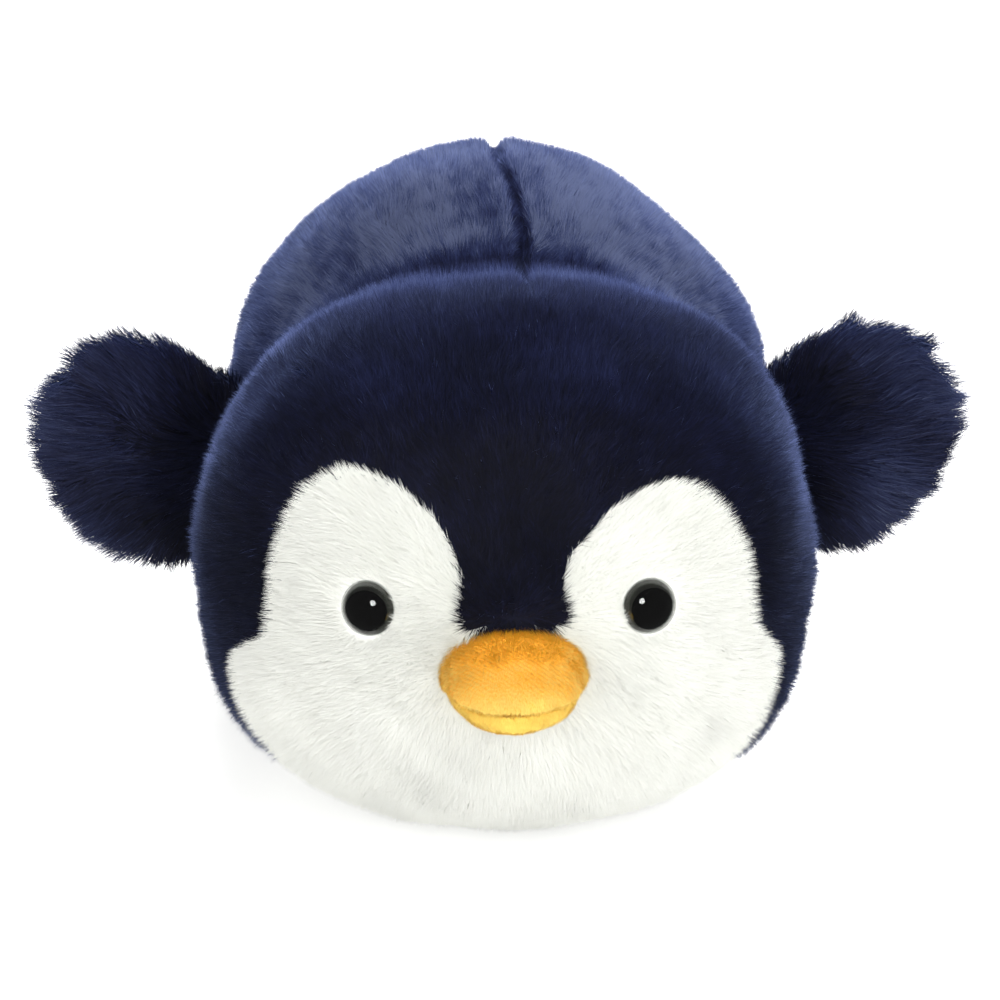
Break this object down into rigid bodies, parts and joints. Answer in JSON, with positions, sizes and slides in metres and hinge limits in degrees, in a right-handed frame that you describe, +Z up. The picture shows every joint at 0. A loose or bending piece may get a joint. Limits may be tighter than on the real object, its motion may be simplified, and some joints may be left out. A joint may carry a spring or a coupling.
{
  "type": "plush penguin",
  "caption": "Stuffed plush penguin lying on its belly: bolster body with pile panels, domed eyes, padded beak, flippers, feet and tail that fold at their seams.",
  "frame": {"origin": "on the ground under the middle of the toy, measured beak tip to tail tip and flipper to flipper", "axes": "+Z up, -Y the way the penguin faces, +X to its own left"},
  "size_m": [0.273, 0.28, 0.162],
  "materials": {
    "navy_plush": "long dense pile",
    "white_plush": "long dense pile",
    "orange_velour": "short pile",
    "pale_orange_velour": "short pile",
    "eye_clear": "polished clear plastic",
    "eye_black": "polished",
    "washer_plastic": "moulded",
    "fibre_fill": "loose polyester fibre",
    "pouch_cloth": "thin nonwoven cloth",
    "pellets": "loose pellets",
    "label_ribbon": "woven satin ribbon",
    "thread": "sewing thread"
  },
  "bodies": {
    "body": {"hood_panel": "navy_plush", "face_panel": "white_plush", "back_panel_left": "navy_plush", "back_panel_right": "navy_plush", "belly_panel": "white_plush", "body_fill": "fibre_fill", "pouch_bag": "pouch_cloth", "pouch_pellets": "pellets", "beak_upper": "orange_velour", "beak_lower": "pale_orange_velour", "beak_fill": "fibre_fill", "care_label": "label_ribbon", "closing_stitches": "thread", "eye_cap_left": "eye_clear", "eye_base_left": "eye_black", "eye_washer_left": "washer_plastic", "eye_cap_right": "eye_clear", "eye_base_right": "eye_black", "eye_washer_right": "washer_plastic"},
    "flipper_left": {"flipper_front_left": "navy_plush", "flipper_back_left": "navy_plush", "flipper_fill_left": "fibre_fill"},
    "foot_left": {"foot_upper_left": "orange_velour", "foot_sole_left": "orange_velour", "foot_fill_left": "fibre_fill"},
    "flipper_right": {"flipper_front_right": "navy_plush", "flipper_back_right": "navy_plush", "flipper_fill_right": "fibre_fill"},
    "foot_right": {"foot_upper_right": "orange_velour", "foot_sole_right": "orange_velour", "foot_fill_right": "fibre_fill"},
    "tail": {"tail_upper": "navy_plush", "tail_lower": "navy_plush", "tail_fill": "fibre_fill"}
  },
  "joints": [
    {"name": "flipper_left_fold", "type": "hinge", "parent": "body", "child": "flipper_left", "pos_m": [0.0815, -0.002, 0.0815], "axis": [0, 0, -1], "range_deg": [-50, 50], "stiffness_Nm_per_rad": 0.01},
    {"name": "flipper_right_fold", "type": "hinge", "parent": "body", "child": "flipper_right", "pos_m": [-0.0815, -0.002, 0.0815], "axis": [0, 0, 1], "range_deg": [-50, 50], "stiffness_Nm_per_rad": 0.01},
    {"name": "foot_left_lift", "type": "hinge", "parent": "body", "child": "foot_left", "pos_m": [0.034, 0.0885, 0.018], "axis": [1, 0, 0], "range_deg": [0, 22], "stiffness_Nm_per_rad": 0.004},
    {"name": "foot_right_lift", "type": "hinge", "parent": "body", "child": "foot_right", "pos_m": [-0.034, 0.0885, 0.018], "axis": [1, 0, 0], "range_deg": [0, 22], "stiffness_Nm_per_rad": 0.004},
    {"name": "tail_wag", "type": "hinge", "parent": "body", "child": "tail", "pos_m": [0, 0.122, 0.048], "axis": [1, 0, 0], "range_deg": [-20, 25], "stiffness_Nm_per_rad": 0.004}
  ]
}
